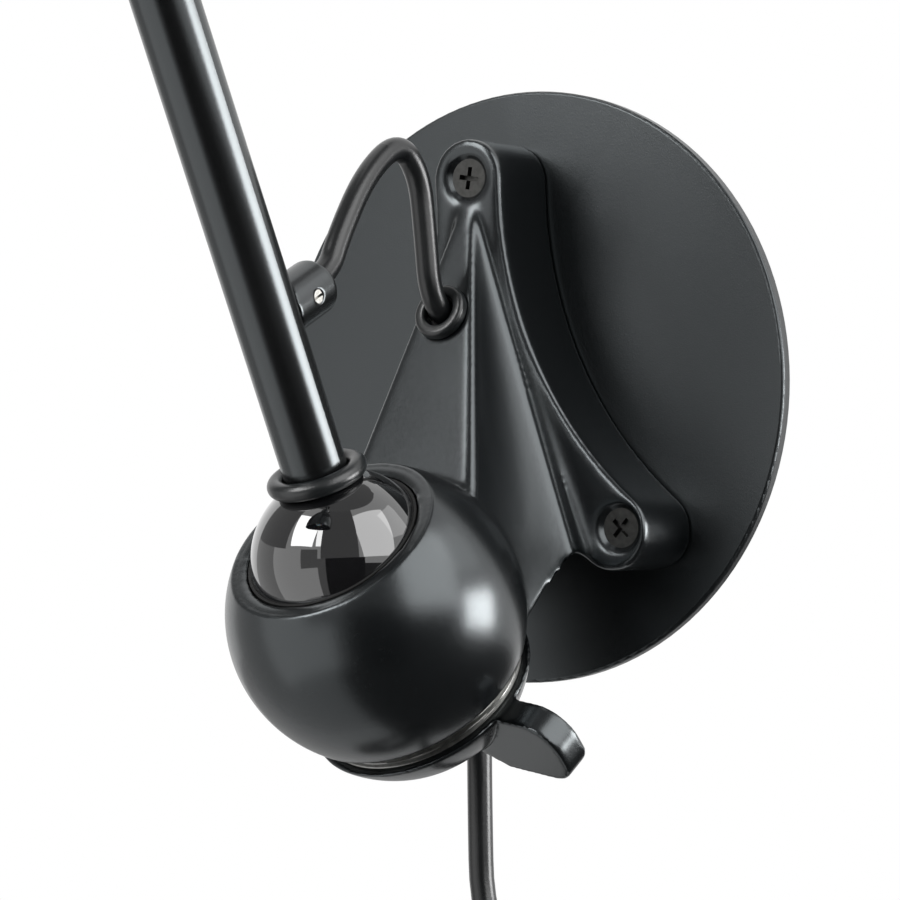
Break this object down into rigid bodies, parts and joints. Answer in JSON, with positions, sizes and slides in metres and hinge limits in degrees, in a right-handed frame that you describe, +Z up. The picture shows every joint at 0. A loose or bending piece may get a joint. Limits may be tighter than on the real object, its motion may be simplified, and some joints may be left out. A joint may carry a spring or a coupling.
{
  "type": "articulating wall lamp",
  "caption": "Wall lamp with a straight arm on a clamped ball joint, a three-armed wall bracket with a thumb lever, a looped lead and a dome shade.",
  "frame": {"origin": "centre of the wall plate's back, on the wall's face", "axes": "+X right along the wall seen from the room, +Y into the wall, +Z up"},
  "size_m": [0.1532, 0.3824, 0.6058],
  "materials": {
    "casting_paint": "satin black paint",
    "plate_paint": "fine satin dark grey paint",
    "tube_paint": "satin black paint",
    "ball_gloss": "high gloss black",
    "liner_black": "matte black",
    "rubber_black": "satin rubber",
    "cable_black": "satin cable sheath",
    "zinc_steel": "grey zinc",
    "bare_steel": "turned bright steel",
    "cast_alloy": "turned alloy",
    "brass": "turned brass",
    "moulding_white": "moulded white plastic",
    "moulding_black": "moulded black plastic",
    "shade_paint": "satin black outside, white inside",
    "nickel": "nickel plate",
    "bulb_glass": "opal glass"
  },
  "bodies": {
    "base": {"wall_plate": "plate_paint", "casting_pillars": "zinc_steel", "bracket_screws": "zinc_steel", "bracket_casting": "casting_paint", "socket_liner": "liner_black", "terminal_block": "moulding_white", "terminal_screws": "brass", "cord_grip": "moulding_white", "cord_grip_posts": "zinc_steel", "cord_grip_screws": "zinc_steel", "lead_grommet": "rubber_black", "mains_cord": "cable_black", "mains_coil": "cable_black", "cord_tie": "rubber_black", "plug_body": "moulding_black", "plug_pins": "nickel"},
    "clamp": {"clamp_cap": "casting_paint", "clamp_screw": "bare_steel"},
    "thrust": {"thrust_ring": "bare_steel"},
    "cup": {"pressure_cup": "cast_alloy", "lead_lower": "cable_black"},
    "ball": {"ball": "ball_gloss", "ball_nipple": "brass", "lead_middle": "cable_black"},
    "arm": {"arm_tube": "tube_paint", "arm_ring": "rubber_black", "lead_collar": "tube_paint", "collar_screw": "nickel", "arm_fork": "casting_paint", "pivot_bolt": "zinc_steel", "friction_washers": "liner_black", "arm_lead": "cable_black", "lead_upper": "cable_black"},
    "knob": {"clamp_knob": "moulding_black"},
    "head": {"head_stem": "tube_paint", "holder_cap": "shade_paint", "lampholder": "moulding_white", "lamp_contact": "brass", "shade": "shade_paint", "shade_ring": "moulding_white", "bulb_cap": "nickel", "bulb_glass": "bulb_glass", "switch_bush": "nickel"},
    "switch": {"switch_knob": "moulding_black"}
  },
  "joints": [
    {"name": "clamp_turn", "type": "hinge", "parent": "base", "child": "clamp", "pos_m": [0, -0.066, -0.0521], "axis": [0, -0.6909, 0.723], "range_deg": [-90, 0]},
    {"name": "thrust_slide", "type": "slide", "parent": "base", "child": "thrust", "axis": [0, -0.6909, 0.723], "range_m": [-0.0004, 0]},
    {"name": "pan", "type": "hinge", "parent": "base", "child": "cup", "pos_m": [0, -0.07712, -0.04046], "axis": [0, -0.6909, 0.723], "range_deg": [-75, 75], "deforming": ["lead_lower"]},
    {"name": "tilt", "type": "hinge", "parent": "cup", "child": "ball", "pos_m": [0, -0.07712, -0.04046], "axis": [1, 0, 0], "range_deg": [-19, 40], "deforming": ["lead_middle"]},
    {"name": "twist", "type": "hinge", "parent": "ball", "child": "arm", "pos_m": [0, -0.07712, -0.04046], "axis": [0, -0.4289, 0.9033], "range_deg": [-60, 60], "deforming": ["lead_upper"]},
    {"name": "knob_turn", "type": "hinge", "parent": "arm", "child": "knob", "pos_m": [0, -0.24012, 0.30281], "axis": [1, 0, 0], "range_deg": [-180, 180]},
    {"name": "head_tilt", "type": "hinge", "parent": "arm", "child": "head", "pos_m": [0, -0.24012, 0.30281], "axis": [1, 0, 0], "range_deg": [-110, 12]},
    {"name": "switch_turn", "type": "hinge", "parent": "head", "child": "switch", "pos_m": [0.025, -0.2604, 0.2593], "axis": [1, 0, 0], "range_deg": [0, 90]}
  ],
  "couplings": [
    {"joint": "thrust_slide", "follows": "clamp_turn", "m_per_rad": 0.0002387}
  ]
}
